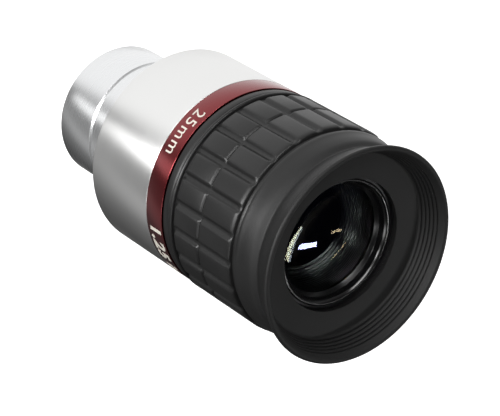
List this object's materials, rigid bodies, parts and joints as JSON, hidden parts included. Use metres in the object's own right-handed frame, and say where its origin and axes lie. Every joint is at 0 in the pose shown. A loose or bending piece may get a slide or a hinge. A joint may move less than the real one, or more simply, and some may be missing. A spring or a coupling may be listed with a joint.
{
  "type": "telescope eyepiece",
  "caption": "Upright cylindrical telescope eyepiece with a chromed nosepiece barrel, satin metal body, dark red band, blocked rubber grip and a flared twist-up eyecup.",
  "frame": {"origin": "centre of the open end of the nosepiece barrel, the plane that the eyepiece stands on", "axes": "+Z along the optical axis towards the observer's eye; -Y is the side the focal length is marked on"},
  "size_m": [0.0486, 0.0486, 0.0896],
  "materials": {
    "chromed_brass": "polished chrome plate",
    "satin_aluminium": "fine turned and satin clear anodised",
    "red_anodised": "dark red anodised, satin",
    "black_anodised": "matt black anodised",
    "coated_glass": "polished, anti-reflection coated",
    "spring_steel": "bright spring steel",
    "acetal": "natural acetal, turned",
    "grip_rubber": "moulded rubber, fine matt",
    "cup_rubber": "soft moulded rubber, smooth matt"
  },
  "bodies": {
    "root": {"nosepiece_barrel": "chromed_brass", "field_stop": "black_anodised", "body_housing": "satin_aluminium", "accent_band": "red_anodised", "lens_tube": "black_anodised", "field_lens_retainer": "black_anodised", "field_lens_flint": "coated_glass", "field_lens_crown": "coated_glass", "spacer_field": "black_anodised", "middle_lens": "coated_glass", "doublet_crown": "coated_glass", "doublet_flint": "coated_glass", "spacer_eye": "black_anodised", "eye_lens": "coated_glass", "eye_lens_retainer": "black_anodised", "stop_ring": "spring_steel"},
    "glide": {"glide_ring": "acetal"},
    "eyecup": {"eyecup_sleeve": "black_anodised", "eyecup_carrier": "black_anodised", "grip_rubber": "grip_rubber", "eyecup_rubber": "cup_rubber"}
  },
  "joints": [
    {"name": "eyecup_rise", "type": "slide", "parent": "root", "child": "glide", "axis": [0, 0, 1], "range_m": [0, 0.008]},
    {"name": "eyecup_turn", "type": "hinge", "parent": "glide", "child": "eyecup", "pos_m": [0, 0, 0.0555], "axis": [0, 0, 1], "range_deg": [0, 240]}
  ],
  "couplings": [
    {"joint": "eyecup_rise", "follows": "eyecup_turn", "m_per_rad": 0.0019099}
  ]
}
